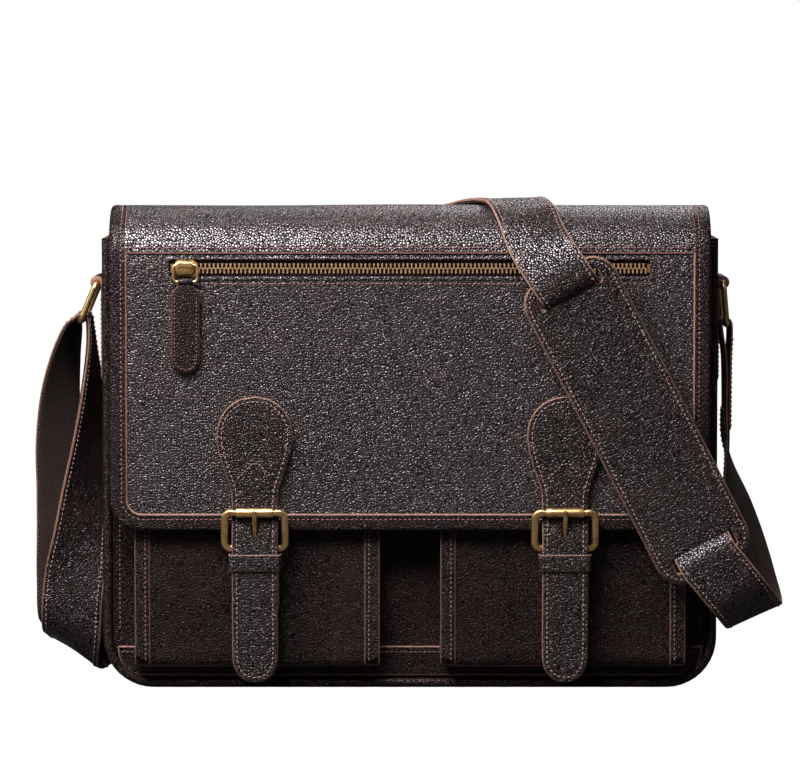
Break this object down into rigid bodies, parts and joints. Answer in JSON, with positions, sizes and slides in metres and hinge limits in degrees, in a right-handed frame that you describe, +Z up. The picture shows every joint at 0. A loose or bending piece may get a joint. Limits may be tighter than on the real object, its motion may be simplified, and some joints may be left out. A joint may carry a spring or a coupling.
{
  "type": "messenger satchel bag",
  "caption": "Leather messenger satchel with a buckled front flap, zipped flap pocket, front pockets and a padded shoulder strap draped across it.",
  "frame": {"origin": "on the floor under the centre of the main compartment, on the bag's base plane", "axes": "+Z up, -Y towards the flap's front, +X to the bag's right as seen from the front"},
  "size_m": [0.4693, 0.1359, 0.3077],
  "materials": {
    "dark_leather": "pebbled, semi-gloss",
    "lining_fabric": "plain twill",
    "divider_fabric": "padded nylon",
    "board": "matte stiffener board",
    "zip_tape": "woven tape",
    "webbing": "ribbed webbing",
    "antique_brass": "aged, brushed"
  },
  "bodies": {
    "bag": {"back_panel": "dark_leather", "back_piping": "dark_leather", "base_board": "board", "body_lining": "lining_fabric", "bottom_panel": "dark_leather", "front_bottom_band": "dark_leather", "front_panel": "dark_leather", "front_piping": "dark_leather", "gusset_left": "dark_leather", "gusset_right": "dark_leather", "laptop_divider": "divider_fabric", "pocket_left": "dark_leather", "pocket_right": "dark_leather", "pocket_left_gusset": "dark_leather", "pocket_right_gusset": "dark_leather", "ring_tab_left": "dark_leather", "ring_tab_right": "dark_leather", "snap_back_plates": "antique_brass", "snap_socket_left": "antique_brass", "snap_socket_right": "antique_brass", "flap_back_strip": "dark_leather", "strap_back": "dark_leather", "strap_webbing_tail": "webbing", "strap_adjuster": "antique_brass"},
    "flap": {"flap_panel": "dark_leather", "flap_top_band": "dark_leather", "flap_binding": "dark_leather", "flap_lining": "lining_fabric", "zipper_tape_lower": "zip_tape", "zipper_tape_upper": "zip_tape", "zipper_teeth_lower": "antique_brass", "zipper_teeth_upper": "antique_brass", "zipper_stops": "antique_brass", "billet_left": "dark_leather", "billet_right": "dark_leather", "billet_backing_left": "dark_leather", "billet_backing_right": "dark_leather", "snap_tab_left": "dark_leather", "snap_tab_right": "dark_leather", "snap_stud_left": "antique_brass", "snap_stud_right": "antique_brass", "buckle_frame_left": "antique_brass", "buckle_frame_right": "antique_brass", "strap_front": "dark_leather", "shoulder_pad": "dark_leather"},
    "zip_slider": {"zip_slider": "antique_brass"},
    "zip_pull": {"zip_pull_ring": "antique_brass"},
    "zip_tab": {"zip_pull_tab": "dark_leather"},
    "roller_left": {"buckle_roller_left": "antique_brass"},
    "roller_right": {"buckle_roller_right": "antique_brass"},
    "prong_left": {"buckle_prong_left": "antique_brass"},
    "prong_right": {"buckle_prong_right": "antique_brass"},
    "keeper_left": {"keeper_left": "dark_leather"},
    "keeper_right": {"keeper_right": "dark_leather"},
    "ring_left": {"ring_left": "antique_brass", "strap_left": "dark_leather"},
    "ring_right": {"ring_right": "antique_brass", "strap_end_right": "dark_leather"}
  },
  "joints": [
    {"name": "flap_hinge", "type": "hinge", "parent": "bag", "child": "flap", "pos_m": [0, 0.038, 0.2815], "axis": [-1, 0, 0], "range_deg": [0, 100]},
    {"name": "zip_slide", "type": "slide", "parent": "flap", "child": "zip_slider", "axis": [1, 0, 0], "range_m": [0, 0.2765]},
    {"name": "zip_pull_swing", "type": "hinge", "parent": "zip_slider", "child": "zip_pull", "pos_m": [-0.1385, -0.06075, 0.2653], "axis": [-1, 0, 0], "range_deg": [0, 110]},
    {"name": "zip_tab_swing", "type": "hinge", "parent": "zip_pull", "child": "zip_tab", "pos_m": [-0.1385, -0.06075, 0.2548], "axis": [-1, 0, 0], "range_deg": [0, 60]},
    {"name": "roller_left_spin", "type": "hinge", "parent": "flap", "child": "roller_left", "pos_m": [-0.096, -0.06495, 0.1122], "axis": [1, 0, 0], "continuous": true},
    {"name": "prong_left_lift", "type": "hinge", "parent": "flap", "child": "prong_left", "pos_m": [-0.096, -0.059, 0.0895], "axis": [1, 0, 0], "range_deg": [0, 15]},
    {"name": "keeper_left_slide", "type": "slide", "parent": "flap", "child": "keeper_left", "axis": [0, 0, -1], "range_m": [0, 0.011]},
    {"name": "roller_right_spin", "type": "hinge", "parent": "flap", "child": "roller_right", "pos_m": [0.096, -0.06495, 0.1122], "axis": [1, 0, 0], "continuous": true},
    {"name": "prong_right_lift", "type": "hinge", "parent": "flap", "child": "prong_right", "pos_m": [0.096, -0.059, 0.0895], "axis": [1, 0, 0], "range_deg": [0, 15]},
    {"name": "keeper_right_slide", "type": "slide", "parent": "flap", "child": "keeper_right", "axis": [0, 0, -1], "range_m": [0, 0.011]},
    {"name": "ring_left_swing", "type": "hinge", "parent": "bag", "child": "ring_left", "pos_m": [-0.1961, 0, 0.2525], "axis": [0, 1, 0], "range_deg": [0, 25]},
    {"name": "ring_right_swing", "type": "hinge", "parent": "bag", "child": "ring_right", "pos_m": [0.1961, 0, 0.2525], "axis": [0, -1, 0], "range_deg": [0, 15]}
  ]
}
